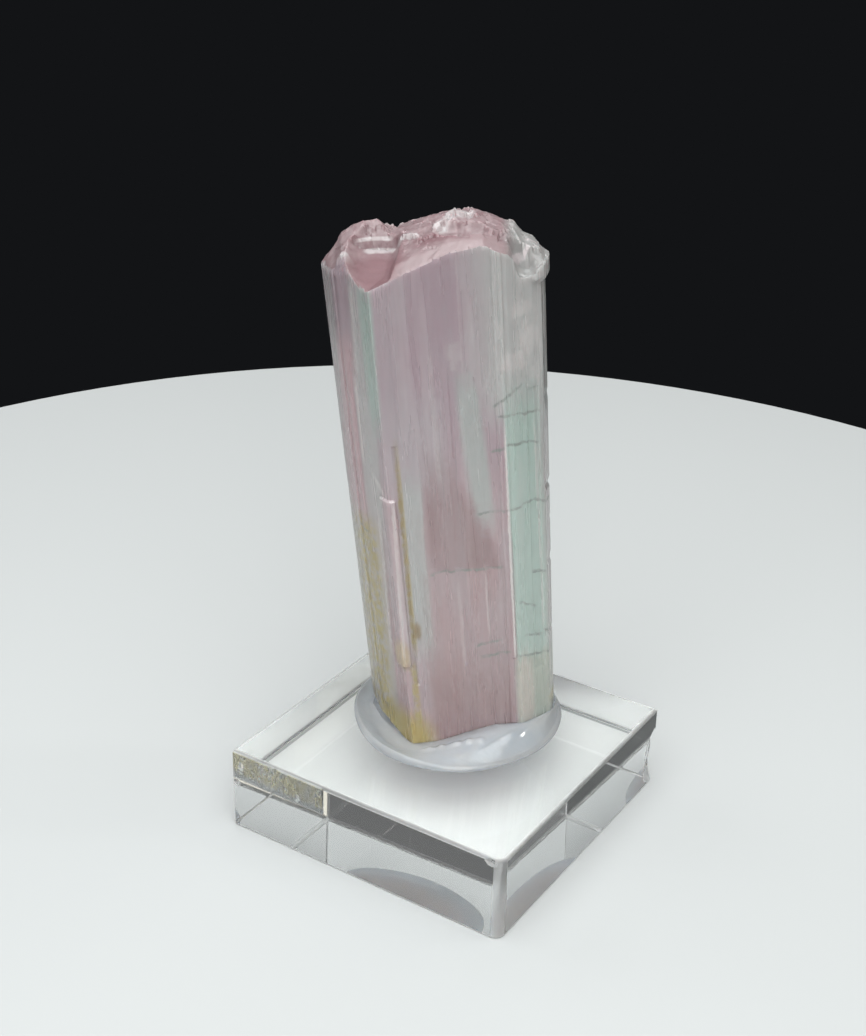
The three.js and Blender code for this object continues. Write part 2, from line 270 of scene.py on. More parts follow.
def top_height(r, f):
    """Height of the broken top over points of the section, as in the solid."""
    crest = along(CREST, r)
    rim = along(RIM, r)
    wall = along(FRONT_WALL, r)
    share = np.clip((f - wall) / (CREST_LINE - wall), 0, 1)
    bevel = np.minimum(share / BEVEL_REACH, 1) * BEVEL_SHARE
    slope = np.maximum(share - BEVEL_REACH, 0) / (1 - BEVEL_REACH) * (1 - BEVEL_SHARE)
    height = rim + (crest - rim) * (bevel + slope) - CREST_FALL * np.maximum(f - CREST_LINE, 0)
    for centre_r, centre_f, half_r, half_f, low, rise in HOLLOWS:
        spread = ((r - centre_r) / half_r) ** 2 + ((f - centre_f) / half_f) ** 2
        turn = np.arctan2(f - centre_f, r - centre_r)
        uneven = np.sin(3 * turn + centre_r) + np.sin(5 * turn + centre_f)
        spread = spread * (1 + HOLLOW_UNEVEN * uneven)
        height = np.minimum(height, low + rise * spread**2)
    aside = r - SCOOP_FRONT[0] - SCOOP_DRIFT * (f - SCOOP_FRONT[1])
    bank = np.where(aside > 0, SCOOP_RIGHT, SCOOP_LEFT) * np.maximum(np.abs(aside) - SCOOP_FLOOR, 0) ** 2
    scoop = np.maximum(SCOOP_LOW + SCOOP_RISE * (f - SCOOP_FRONT[1]) + bank, rim)
    behind = np.maximum(f - along(LEDGE, r), 0)
    scoop = scoop + np.minimum(LEDGE_STEEP * behind, LEDGE_RISE) + LEDGE_BACK * behind
    return np.minimum(height, scoop)


def foot_height(r, f):
    """Height of the crystal's broken foot, hidden in the putty."""
    tilt = FOOT_TILT[0] * (r - FOOT_CORNER[0]) + FOOT_TILT[1] * (f - FOOT_CORNER[1])
    return FOOT_LOW + tilt + FOOT_CHAMFER * np.maximum(FOOT_CHAMFER_FROM - r, 0)


def turned(right, away):
    """The part's x and y of a point to the right and away along the crystal's directions."""
    x = right * math.cos(TURN) - away * math.sin(TURN)
    y = right * math.sin(TURN) + away * math.cos(TURN)
    return x, y


def place(r, f, h):
    """Crystal frame in millimetres to the part's frame in metres."""
    scale = FOOT_SCALE + SCALE_PER_MM * h
    x, y = turned(FOOT[0] + r * scale + LEAN * h, FOOT[1] + f * scale)
    return np.stack(np.broadcast_arrays(x, y, BLOCK_HEIGHT + h), axis=-1) * MM


def new_object(name, vertices, faces):
    mesh = bpy.data.meshes.new(name)
    mesh.from_pydata([tuple(v) for v in vertices], [], faces)
    mesh.validate()
    mesh.update()
    piece = bpy.data.objects.new(name, mesh)
    bpy.context.scene.collection.objects.link(piece)
    return piece


def ring_faces(rings, count):
    """Four-sided faces between each ring of points and the next one."""
    faces = []
    for j in range(rings - 1):
        for i in range(count):
            k = (i + 1) % count
            faces.append((j * count + i, j * count + k, (j + 1) * count + k, (j + 1) * count + i))
    return faces


def shade(piece, angle):
    """Smooth shading, with sharp edges from this angle in degrees."""
    piece.data.shade_smooth()
    piece.data.set_sharp_from_angle(angle=math.radians(angle))


# Crystal mesh


def side_breaks(start, end, side):
    """Where a broad strip or a rib begins on one side of the section, as shares of the side."""
    length = math.dist(start, end)
    count = max(1, round(length / STRIP_WIDTH))
    breaks = [(k + STRIP_SHAKE * (scatter(side * 31 + k) - 0.5)) / count for k in range(1, count)]
    if min(start[1], end[1]) < FRONT_LIMIT:
        for edge in [rib[0] for rib in RIBS] + [rib[1] for rib in RIBS]:
            share = (edge - start[0]) / (end[0] - start[0])
            if 0 < share < 1:
                breaks.append(share)
    return sorted(breaks)


def wall_columns():
    """Columns round the section: r, f, normal, depth of the broad strip, number of the striation."""
    columns = []
    number = 0
    for side, start in enumerate(SECTION):
        end = SECTION[(side + 1) % len(SECTION)]
        length = math.dist(start, end)
        normal = ((end[1] - start[1]) / length, -(end[0] - start[0]) / length)
        gap = STRIP_STEP / length
        edges = [gap]
        depths = [STRIP_DEPTH * scatter(side * 17 + 3)]
        breaks = side_breaks(start, end, side)
        for k, share in enumerate(breaks):
            before = gap if k == 0 else breaks[k - 1]
            after = 1 - gap if k == len(breaks) - 1 else breaks[k + 1]
            if share - before < 3 * gap or after - share < 3 * gap:
                continue
            edges.append(share)
            depths.append(STRIP_DEPTH * scatter(side * 17 + k * 5 + 11))
        edges.append(1 - gap)
        for k, depth in enumerate(depths):
            low = edges[k] + (gap if k else 0)
            high = edges[k + 1] - (gap if k < len(depths) - 1 else 0)
            fine = max(1, round((high - low) * length / STRIATION_WIDTH))
            step = STRIATION_STEP / length
            cuts = [(j + STRIATION_SHAKE * (scatter(number * 3.7 + j) - 0.5)) / fine for j in range(1, fine)]
            cuts = [0] + cuts + [1]
            for j in range(fine):
                number += 1
                first = low + (high - low) * cuts[j] + (step if j else 0)
                last = low + (high - low) * cuts[j + 1] - (step if j < fine - 1 else 0)
                for share in (first, last):
                    r = start[0] + (end[0] - start[0]) * share
                    f = start[1] + (end[1] - start[1]) * share
                    columns.append((r, f, normal[0], normal[1], depth, number))
    return np.array(columns)


def striation_depth(number, h):
    """Each striation is sunk by its own depth, which changes in steps along the crystal."""
    part = math.floor((h + 40 * scatter(number * 1.3)) / (STRIATION_LENGTH * (0.4 + scatter(number * 2.1))))
    return STRIATION_DEPTH * scatter(number * 5.9 + part * 1.7)


def rib_height(r, f, h):
    """How far the ribs stand out, and the seams go in."""
    raised = np.zeros_like(r)
    for low_r, high_r, low_h, high_h, raise_by in RIBS:
        inside = (r > low_r) & (r < high_r) & (h > low_h) & (h < high_h) & (f <= FRONT_LIMIT)
        raised += np.where(inside, raise_by, 0)
    return raised


def notch_depth(r, f, h):
    """Small bites out of the right corner."""
    near = np.clip(1 - np.abs(r - NOTCH_CENTRE) / NOTCH_REACH, 0, 1) * (f < 4.0)
    depth = np.zeros_like(r)
    for height, half, deep in NOTCHES:
        depth += deep * np.clip(1 - np.abs(h - height) / half, 0, 1)
    return near * depth


def build_crystal():
    """Striated walls as rows of columns, a closed foot, and the broken top as a net of triangles."""
    columns = wall_columns()
    r, f, normal_r, normal_f, depth, number = columns.T
    count = len(r)
    heights = set(np.arange(WALL_FROM, WALL_TO, ROW_GAP).round(3))
    for end in RIB_ENDS:
        heights = {h for h in heights if abs(h - end) > ROW_STEP}
        heights |= {end - ROW_STEP / 2, end + ROW_STEP / 2}
    heights = sorted(heights)
    top = top_height(r, f)
    foot = foot_height(r, f)
    rows = [foot, (foot + heights[0]) / 2]
    rows += [np.full(count, h) for h in heights]
    last = heights[-1]
    rows += [last + (top - last) * k / CROWN_ROWS for k in range(1, CROWN_ROWS + 1)]
    vertices = []
    for h in rows:
        fine = np.array([striation_depth(n, height) for n, height in zip(number, h)])
        out = rib_height(r, f, h) - depth - fine
        out -= notch_depth(r, f, h)
        vertices.append(place(r + normal_r * out, f + normal_f * out, h))
    faces = ring_faces(len(rows), count)
    vertices = np.concatenate(vertices)
    # Foot: a fan to one middle point, hidden in the putty
    vertices = np.vstack([vertices, place(0.0, 0.0, float(foot_height(0.0, 0.0)))[None]])
    middle = len(vertices) - 1
    faces += [(middle, (i + 1) % count, i) for i in range(count)]
    # Top: the rim loop filled with a net of points
    rim_start = (len(rows) - 1) * count
    rim_out = rib_height(r, f, rows[-1]) - depth
    rim_r = r + normal_r * rim_out
    rim_f = f + normal_f * rim_out
    inside = []
    for row, grid_f in enumerate(np.arange(-6, 9.4, CAP_GRID)):
        for col, grid_r in enumerate(np.arange(-10.6, 10.6, CAP_GRID)):
            seed = row * 211 + col
            inside.append((
                grid_r + CAP_GRID * CAP_SHAKE * (scatter(seed) - 0.5),
                grid_f + CAP_GRID * CAP_SHAKE * (scatter(seed + 0.5) - 0.5),
            ))
    outline = [Vector(p) for p in zip(rim_r, rim_f)]
    points = outline + [Vector(p) for p in inside if is_inside(p, rim_r, rim_f)]
    loop = [(i, (i + 1) % count) for i in range(count)]
    flat, _, triangles, origin, _, _ = delaunay_2d_cdt(points, loop, [], 1, 1e-6)
    index = {}
    extra = []
    for k, point in enumerate(flat):
        source = origin[k][0] if origin[k] else -1
        if 0 <= source < count:
            index[k] = rim_start + source
        else:
            index[k] = len(vertices) + len(extra)
            extra.append(place(point.x, point.y, cap_height(point.x, point.y)))
    faces += [tuple(index[k] for k in triangle) for triangle in triangles]
    vertices = np.vstack([vertices, np.array(extra)])
    piece = new_object("crystal", vertices, faces)
    shade(piece, CRYSTAL_SHARP)
    return piece


def is_inside(point, rim_r, rim_f, margin=0.1):
    """True for a point inside the loop and clear of it, by crossings of a line to the right."""
    r, f = point
    next_r = np.roll(rim_r, -1)
    next_f = np.roll(rim_f, -1)
    spans = (rim_f > f) != (next_f > f)
    cross = rim_r[spans] + (f - rim_f[spans]) * (next_r - rim_r)[spans] / (next_f - rim_f)[spans]
    if np.count_nonzero(cross > r) % 2 == 0:
        return False
    return np.min(np.hypot(rim_r - r, rim_f - f)) > margin


def line_place(r, f, start, end):
    """Share along a line from start to end, and distance to its far side."""
    length = math.dist(start, end)
    along_r = (end[0] - start[0]) / length
    along_f = (end[1] - start[1]) / length
    share = ((r - start[0]) * along_r + (f - start[1]) * along_f) / length
    across = (f - start[1]) * along_r - (r - start[0]) * along_f
    return share, across


def chip_height(r, f):
    """Height of the small tilted face that holds this point."""
    best = 1e9
    height = 0.0
    column = math.floor(r / CHIP_SIZE)
    row = math.floor(f / CHIP_SIZE)
    for i in range(column - 1, column + 2):
        for j in range(row - 1, row + 2):
            seed = i * 57.3 + j * 131.7
            centre_r = (i + CHIP_MARGIN + CHIP_SPREAD * scatter(seed)) * CHIP_SIZE
            centre_f = (j + CHIP_MARGIN + CHIP_SPREAD * scatter(seed + 0.31)) * CHIP_SIZE
            apart = math.hypot((r - centre_r) * CHIP_STRETCH, f - centre_f)
            if apart < best:
                best = apart
                tilt_r = CHIP_TILT * (scatter(seed + 0.47) - 0.5) * 2
                tilt_f = CHIP_TILT * (scatter(seed + 0.83) - 0.5) * 2
                level = CHIP_LEVEL * (scatter(seed + 0.11) - 0.5) * 2
                height = level + tilt_r * (r - centre_r) + tilt_f * (f - centre_f)
    return height


def chip_share(r, f):
    """How rough the top is: smooth in the big hollow and on the front bevel, ragged at the right lip."""
    in_scoop = SMOOTH_SPAN[0] < r < SMOOTH_SPAN[1] and f < along(LEDGE, r)
    smooth = SCOOP_CHIPS if in_scoop else 1.0
    wall = float(along(FRONT_WALL, r))
    bevel = min(max((f - wall - 0.9) / 0.6, BEVEL_CHIPS), 1)
    ragged = 1 + LIP_CHIPS * min(max((r - LIP_FROM) / 2, 0), 1)
    return smooth * bevel * ragged


def cap_height(r, f):
    """The broken top with its steps, chips and ripples."""
    height = float(top_height(r, f))
    for start, end, rise, fade in STEPS:
        share, across = line_place(r, f, start, end)
        across += STEP_WAVE * math.sin(share * 17) + STEP_RIPPLE * math.sin(share * 41)
        if across > 0 and -STEP_OVERRUN < share < 1 + STEP_OVERRUN:
            taper = min(1, 6 * (share + STEP_OVERRUN), 6 * (1 + STEP_OVERRUN - share))
            height += rise * taper * math.exp(-across / fade)
    height += chip_share(r, f) * chip_height(r, f)
    ripple = math.hypot(r - SCOOP_FRONT[0] - 1, f)
    return height + RIPPLE * math.sin(ripple * 5.5 + 0.6 * math.sin(r * 2.1))


# Putty mesh


def ray_to_section(turn):
    """Distance from the middle of the section to its outline in this direction."""
    step_r = math.cos(turn)
    step_f = math.sin(turn)
    for start, end in zip(SECTION, SECTION[1:] + SECTION[:1]):
        side_r = end[0] - start[0]
        side_f = end[1] - start[1]
        cross = step_r * side_f - step_f * side_r
        if abs(cross) < 1e-9:
            continue
        reach = (start[0] * side_f - start[1] * side_r) / cross
        share = (start[0] * step_f - start[1] * step_r) / cross
        if reach > 0 and 0 <= share <= 1:
            return reach
    raise ValueError("no side in that direction")


def ray_to_rim(turn):
    """Distance from the middle of the section to the putty's rim in this direction."""
    radius = PAD_RADIUS
    for share, waves, start in PAD_WAVES:
        radius += PAD_RADIUS * share * math.sin(waves * turn + start)
    ahead = PAD_MIDDLE[0] * math.cos(turn) + PAD_MIDDLE[1] * math.sin(turn)
    aside = PAD_MIDDLE[0] ** 2 + PAD_MIDDLE[1] ** 2 - radius**2
    return ahead + math.sqrt(ahead**2 - aside)


def fold_height(r, f):
    """Height of the pinched fold in the putty's top."""
    share, aside = line_place(r, f, *FOLD)
    ends = min(max(min(share, 1 - share) * math.dist(*FOLD) / FOLD_END, 0), 1)
    uneven = 1 - FOLD_UNEVEN + FOLD_UNEVEN * math.sin(4.1 * r + 0.6 * math.sin(2.3 * r))
    return FOLD_RAISE * ends * uneven * math.exp(-((aside / FOLD_WIDTH) ** 2))


def pad_profile(turn):
    """The putty's section in one direction, as (distance, height), from the crystal's bed to the foot."""
    degrees = math.degrees(turn)
    touch = along(PAD_TOUCH, degrees)
    lip = along(PAD_LIP, degrees)
    swell = along(PAD_SWELL, degrees)
    scale = FOOT_SCALE + SCALE_PER_MM * touch
    wall = ray_to_section(turn) * scale + PAD_GAP
    rim = ray_to_rim(turn)
    bed = float(foot_height(wall * math.cos(turn), wall * math.sin(turn))) - PAD_GAP
    bed = min(bed, touch - PAD_BED)
    profile = [(wall * 0.5, bed), (wall * 0.9, bed), (wall, bed), (wall, (bed + touch) / 2)]
    profile += [(wall, touch - 0.08), (wall + PAD_ROUND, touch)]
    for k in range(1, PAD_TOP_STEPS + 1):
        share = k / PAD_TOP_STEPS
        reach = wall + PAD_ROUND + (rim - PAD_EDGE - wall) * share
        height = touch + (lip - touch) * share**1.6 + swell * math.sin(math.pi * share) ** 1.2
        profile.append((reach, height + fold_height(reach * math.cos(turn), reach * math.sin(turn))))
    middle = (lip + PAD_UNDERSIDE) / 2
    half = (lip - PAD_UNDERSIDE) / 2
    for k in range(1, PAD_EDGE_STEPS):
        angle = math.pi / 2 - math.pi * k / PAD_EDGE_STEPS
        profile.append((rim - PAD_EDGE + PAD_EDGE * math.cos(angle), middle + half * math.sin(angle)))
    foot = PAD_FOOT_RADIUS + (rim - PAD_RADIUS)
    profile.append((rim - 0.6, PAD_UNDERSIDE - 0.02))
    profile.append((rim - 1.2, PAD_UNDERSIDE * 0.7))
    profile.append((foot + 0.25, 0.25))
    profile.append((foot, 0.0))
    profile.append((foot - 0.02, -PAD_SINK))
    profile.append((foot * 0.5, -PAD_SINK))
    return profile


def build_putty():
    """The pad as rings, one for each point of its profile, closed in the bed and underneath."""
    rings = None
    for k in range(PAD_SPOKES):
        turn = -math.pi + 2 * math.pi * k / PAD_SPOKES
        profile = pad_profile(turn)
        if rings is None:
            rings = [[] for _ in profile]
        for ring, (reach, height) in zip(rings, profile):
            lean = LEAN * height
            ring.append((reach * math.cos(turn) + lean, reach * math.sin(turn), height))
    bed = float(foot_height(0.0, 0.0)) - PAD_GAP
    vertices = [pad_place(*point) for ring in rings for point in ring]
    vertices += [pad_place(0, 0, bed), pad_place(0, 0, -PAD_SINK)]
    count = PAD_SPOKES
    faces = ring_faces(len(rings), count)
    last = (len(rings) - 1) * count
    for i in range(count):
        k = (i + 1) % count
        faces.append((len(vertices) - 2, k, i))
        faces.append((len(vertices) - 1, last + i, last + k))
    faces = [tuple(reversed(face)) for face in faces]
    piece = new_object("putty", vertices, faces)
    shade(piece, PAD_SHARP)
    return piece


def pad_place(right, away, height):
    """From the crystal's foot, in its turned frame but without its taper, to the part's frame in metres."""
    x, y = turned(right + FOOT[0], away + FOOT[1])
    return Vector((x, y, BLOCK_HEIGHT + height)) * MM


# Block mesh


def block_outline(inset):
    """Points of the square, anticlockwise, moved in by the inset; the front corner is rounded the most."""
    half = BLOCK_SIDE / 2
    points = []
    for x, y, radius, steps in BLOCK_CORNERS:
        start = math.atan2(y, x) - math.pi / 4
        reach = max(radius - inset, LEAST_RADIUS)
        middle = half - max(radius, inset + LEAST_RADIUS)
        for k in range(steps + 1):
            turn = start + math.pi / 2 * k / steps
            points.append((x * middle + reach * math.cos(turn), y * middle + reach * math.sin(turn)))
    return points


def build_block():
    """The block as rings of one outline, from the bottom up, with its chips and pits cut out."""
    levels = []
    for k in range(BOTTOM_STEPS + 1):
        turn = math.pi / 2 * k / BOTTOM_STEPS
        levels.append((SHARP_BEVEL * (1 - math.sin(turn)), SHARP_BEVEL * (1 - math.cos(turn))))
    for k in range(TOP_STEPS + 1):
        turn = math.pi / 2 * k / TOP_STEPS
        levels.append((BLOCK_BEVEL * (1 - math.cos(turn)), BLOCK_HEIGHT - BLOCK_BEVEL * (1 - math.sin(turn))))
    rings = [[Vector((x, y, z)) * MM for x, y in block_outline(inset)] for inset, z in levels]
    count = len(rings[0])
    faces = [tuple(reversed(range(count)))] + ring_faces(len(rings), count)
    last = (len(rings) - 1) * count
    faces.append(tuple(range(last, last + count)))
    piece = new_object("block", [point for ring in rings for point in ring], faces)
    lumps = BLOCK_CHIPS + [wall_pit(number) for number in range(PIT_COUNT)]
    cutters = [chip_lump(number, place_mm, size) for number, (place_mm, size) in enumerate(lumps)]
    for cutter in cutters:
        cut = piece.modifiers.new("chip", "BOOLEAN")
        cut.operation = "DIFFERENCE"
        cut.solver = "EXACT"
        cut.object = cutter
    chipped = bpy.data.meshes.new_from_object(piece.evaluated_get(bpy.context.evaluated_depsgraph_get()))
    piece.modifiers.clear()
    piece.data = chipped
    for cutter in cutters:
        bpy.data.objects.remove(cutter)
    return piece


def wall_pit(number):
    """Place and half sizes of one pit in the rough patch of the front left wall."""
    spread = [scatter(number * 7 + k + 900) for k in range(4)]
    across = PIT_X[0] + (PIT_X[1] - PIT_X[0]) * spread[0]
    up = PIT_Z[0] + (PIT_Z[1] - PIT_Z[0]) * spread[1]
    half_length = PIT_HALF_LENGTH + PIT_MORE_LENGTH * spread[2] * min(1, (across + 18) / 6)
    half_width = PIT_HALF_WIDTH + PIT_HALF_WIDTH * spread[3]
    return (across, PIT_Y, up), (half_width, PIT_DEPTH, half_length)


def chip_lump(number, place_mm, size):
    """A lump that is cut out of the block, rippled like broken acrylic."""
    form = bmesh.new()
    bmesh.ops.create_icosphere(form, subdivisions=4 if min(size) > 0.2 else 2, radius=1.0)
    for vertex in form.verts:
        x, y, z = vertex.co
        ripple = 1 + LUMP_WAVE * math.sin(7 * z + 3 * x + number) + LUMP_RIPPLE * math.sin(13 * x - 9 * y)
        vertex.co = Vector((place_mm[k] + size[k] * ripple * (x, y, z)[k] for k in range(3))) * MM
    mesh = bpy.data.meshes.new("lump")
    form.to_mesh(mesh)
    form.free()
    lump = bpy.data.objects.new("lump", mesh)
    bpy.context.scene.collection.objects.link(lump)
    return lump


# Materials


class Shader:
    """A material's node tree, with a short way to add and join nodes."""

    def __init__(self, name):
        self.material = bpy.data.materials.new(name)
        self.material.use_nodes = True
        self.tree = self.material.node_tree
        self.surface = self.tree.nodes["Principled BSDF"]

    def feed(self, socket, value):
        if isinstance(value, bpy.types.NodeSocket):
            self.tree.links.new(value, socket)
        elif value is not None:
            socket.default_value = value

    def node(self, kind, values=(), settings=None):
        made = self.tree.nodes.new(kind)
        for key, value in (settings or {}).items():
            setattr(made, key, value)
        for key, value in dict(values).items():
            self.feed(made.inputs[key], value)
        return made

    def math(self, operation, a, b=None, c=None):
        made = self.node("ShaderNodeMath", settings={"operation": operation})
        for socket, value in zip(made.inputs, (a, b, c)):
            self.feed(socket, value)
        return made.outputs[0]

    def ramp(self, value, low, high, to_low=0.0, to_high=1.0):
        made = self.node(
            "ShaderNodeMapRange",
            {"Value": value, "From Min": low, "From Max": high, "To Min": to_low, "To Max": to_high},
            {"interpolation_type": "SMOOTHSTEP"},
        )
        return made.outputs["Result"]

    def band(self, value, low, high, soft):
        rising = self.ramp(value, low - soft, low + soft)
        falling = self.ramp(value, high - soft, high + soft, 1.0, 0.0)
        return self.math("MULTIPLY", rising, falling)

    def mix(self, share, a, b):
        made = self.node("ShaderNodeMix", settings={"data_type": "RGBA"})
        self.feed(made.inputs["Factor"], share)
        self.feed(made.inputs["A"], a)
        self.feed(made.inputs["B"], b)
        return made.outputs["Result"]

    def layers(self, colour, zones):
        """The colour with each zone, a share and its colour, laid over the ones before."""
        for share, tint in zones:
            colour = self.mix(share, colour, tint)
        return colour

    def noise(self, vector, scale, detail=2.0, rough=0.5):
        made = self.node(
            "ShaderNodeTexNoise", {"Vector": vector, "Scale": scale, "Detail": detail, "Roughness": rough}
        )
        return made.outputs["Fac"]

    def bump(self, height, strength, distance):
        made = self.node("ShaderNodeBump", {"Height": height, "Strength": strength, "Distance": distance})
        return made.outputs["Normal"]

    def dot(self, vector, direction):
        made = self.node("ShaderNodeVectorMath", settings={"operation": "DOT_PRODUCT"})
        self.feed(made.inputs[0], vector)
        self.feed(made.inputs[1], direction)
        return made.outputs["Value"]

    def streak(self, x, y, start, end, width, soft=0.5):
        """1 on a line from start to end in the plane of x and y, fading over its width."""
        length = math.dist(start, end)
        step_x = (end[0] - start[0]) / length
        step_y = (end[1] - start[1]) / length
        ahead = -(start[0] * step_x + start[1] * step_y) - length / 2
        aside = start[0] * step_y - start[1] * step_x
        ahead = self.math("MULTIPLY_ADD", y, step_y, self.math("MULTIPLY_ADD", x, step_x, ahead))
        aside = self.math("MULTIPLY_ADD", y, step_x, self.math("MULTIPLY_ADD", x, -step_y, aside))
        ends = self.ramp(self.math("ABSOLUTE", ahead), length / 2 + soft, length / 2 - soft)
        sides = self.ramp(self.math("ABSOLUTE", aside), width * 0.75, width * 0.3)
        return self.math("MULTIPLY", ends, sides)

    def spot(self, x, y, centre, half, soft=0.25):
        """1 inside an ellipse in the plane of x and y."""
        across = self.math("MULTIPLY_ADD", x, 1 / half[0], -centre[0] / half[0])
        up = self.math("MULTIPLY_ADD", y, 1 / half[1], -centre[1] / half[1])
        apart = self.node("ShaderNodeVectorMath", settings={"operation": "LENGTH"})
        self.feed(apart.inputs[0], self.combine(across, up, 0.0))
        return self.ramp(apart.outputs["Value"], 1 + soft, 1 - soft)

    def join(self, operation, values):
        """One value made from many by the same operation."""
        joined = values[0]
        for value in values[1:]:
            joined = self.math(operation, joined, value)
        return joined

    def times(self, *values):
        return self.join("MULTIPLY", values)

    def combine(self, x, y, z):
        return self.node("ShaderNodeCombineXYZ", {"X": x, "Y": y, "Z": z}).outputs[0]


AXES = ((1.0, 0.0, 0.0), (0.0, 1.0, 0.0), (0.0, 0.0, 1.0))


def part_axes(shader, place_m):
    """The part frame's x, y and z in millimetres, from the place on the object."""
    return [shader.dot(place_m, [value / MM for value in axis]) for axis in AXES]


def crystal_axes(shader):
    """The crystal frame's r, f and h in millimetres, from the place on the object."""
    place_m = shader.node("ShaderNodeTexCoord").outputs["Object"]
    per_mm = 1 / MM
    turned_r = shader.dot(place_m, (math.cos(TURN) * per_mm, math.sin(TURN) * per_mm, -LEAN * per_mm))
    turned_f = shader.dot(place_m, (-math.sin(TURN) * per_mm, math.cos(TURN) * per_mm, 0.0))
    height = shader.dot(place_m, (0.0, 0.0, per_mm))
    r = shader.math("SUBTRACT", turned_r, FOOT[0] - LEAN * BLOCK_HEIGHT)
    f = shader.math("SUBTRACT", turned_f, FOOT[1])
    h = shader.math("SUBTRACT", height, BLOCK_HEIGHT)
    return r, f, h


# Tourmaline colours
MAUVE = (0.50, 0.40, 0.445, 1)
PINK = (0.54, 0.41, 0.43, 1)
DEEP_PINK = (0.38, 0.275, 0.285, 1)
LILAC_GREY = (0.53, 0.475, 0.505, 1)
GREEN_GREY = (0.52, 0.56, 0.545, 1)
GREEN = (0.53, 0.645, 0.60, 1)
BOTTLE_GREEN = (0.45, 0.60, 0.54, 1)
CLEAR_GREY = (0.60, 0.61, 0.60, 1)
STAIN = (0.52, 0.44, 0.20, 1)
RUST = (0.45, 0.36, 0.18, 1)
PALE = (0.80, 0.76, 0.75, 1)
SHADE = (0.30, 0.33, 0.31, 1)
CLOUDY = (0.66, 0.655, 0.65, 1)
PALE_GREEN = (0.53, 0.55, 0.485, 1)
TOP_PINK = (0.29, 0.185, 0.20, 1)
# Painted shade on the broken top: deep pink for its hollow and for the band behind the front bevel
TOP_PAINTED_SHADE = (0.24, 0.12, 0.137, 1)
# The top's own paler tone, also used as painted light on the front bevel
TOP_PALE = (0.37, 0.27, 0.285, 1)
TOP_WHITE = (0.60, 0.55, 0.56, 1)
TOP_GREY = (0.38, 0.385, 0.38, 1)
LOW_PINK = (0.42, 0.30, 0.305, 1)
FOOT_PALE = (0.68, 0.63, 0.58, 1)
EDGE_PINK = (0.60, 0.44, 0.47, 1)
TIP_YELLOW = (0.55, 0.45, 0.15, 1)
RIB_YELLOW = (0.60, 0.50, 0.25, 1)
RUST_SPOT = (0.30, 0.21, 0.10, 1)

# Dark cracks across the crystal: (r, h) to (r, h)
CRACKS = [
    ((5.2, 40.7), (6.7, 41.8)),
    ((6.7, 41.8), (8.3, 42.7)),
    ((5.6, 39.7), (7.7, 39.6)),
    ((7.6, 39.6), (10.0, 39.2)),
    ((4.7, 35.8), (6.1, 36.1)),
    ((6.3, 36.5), (8.0, 36.3)),
    ((8.0, 36.4), (9.7, 35.8)),
    ((3.0, 28.9), (5.9, 29.0)),
    ((5.9, 29.0), (7.6, 29.2)),
    ((7.6, 29.3), (8.9, 29.5)),
    ((8.9, 29.5), (10.8, 28.4)),
    ((8.4, 21.0), (9.9, 20.5)),
    ((-2.4, 22.1), (-0.6, 22.6)),
    ((-0.6, 22.4), (5.2, 22.4)),
    ((6.9, 18.0), (8.6, 16.6)),
    ((9.3, 13.4), (10.6, 12.6)),
    ((7.3, 13.6), (9.1, 12.9)),
    ((6.3, 11.4), (9.0, 10.6)),
    ((9.0, 10.6), (10.4, 10.3)),
    ((2.1, 13.2), (4.6, 13.5)),
    ((2.0, 13.0), (2.6, 13.4)),
    ((2.2, 11.7), (5.6, 12.0)),
    ((2.4, 11.5), (4.2, 11.8)),
    ((-8.7, 25.6), (-9.8, 26.0)),
]
CRACK_WIDTH = 0.27

# Pale lines along the crystal, partly painted highlights along its sharp ridges and partly pale streaks of
# its own tone: (r, h) to (r, h), width, strength
PALE_AND_HIGHLIGHT_LINES = [
    ((6.17, 37.7), (6.05, 11.4), 0.2, 0.8),
    ((-8.55, 43.0), (-8.5, 34.0), 0.22, 0.8),
    ((-8.1, 53.0), (-8.3, 43.5), 0.4, 0.4),
    ((-5.7, 30.5), (-5.9, 12.5), 0.35, 0.5),
    ((-7.6, 33.0), (-6.7, 31.5), 0.35, 0.7),
    ((-7.35, 29.0), (-7.4, 12.0), 0.25, 0.5),
    ((2.35, 56.5), (2.3, 44.0), 0.16, 0.2),
    ((-0.9, 47.0), (-0.8, 33.0), 0.5, 0.2),
    ((9.35, 38.0), (9.4, 14.0), 0.25, 0.4),
    ((0.4, 20.5), (0.5, 11.0), 0.3, 0.25),
    ((3.3, 21.5), (3.4, 14.0), 0.22, 0.3),
]

# Cloudy, finely fractured spots at the upper right of the front, partly their own cloudiness and partly
# painted glints: (r, h), half sizes, strength
CLOUDY_GLINT_SPOTS = [
    ((9.2, 47.5), (1.0, 1.6), 0.7),
    ((7.6, 45.2), (1.4, 0.9), 0.6),
    ((8.3, 50.6), (1.5, 0.7), 0.6),
    ((9.6, 43.6), (0.7, 1.0), 0.5),
    ((6.2, 48.9), (0.4, 1.1), 0.45),
    ((1.4, 46.6), (0.7, 1.3), 0.3),
]

# Freshly broken white flakes on the top: (r, f) to (r, f), width
FLAKES = [
    ((-3.2, -0.1), (-1.2, -1.3), 0.35),
    ((0.6, -0.9), (2.4, 1.3), 0.9),
    ((2.0, 1.6), (4.4, 1.3), 1.0),
    ((-8.2, -2.4), (-9.2, -1.7), 0.8),
    ((7.4, -1.7), (10.2, 0.7), 0.25),
    ((9.3, 1.1), (10.6, 1.6), 0.3),
]

# White broken edges of the ledge behind the scoop, one over the other: (r, h) to (r, h), width
LEDGE_EDGES = [
    ((-7.4, 56.25), (-4.0, 56.45), 0.34),
    ((-6.8, 55.2), (-3.2, 55.45), 0.34),
]


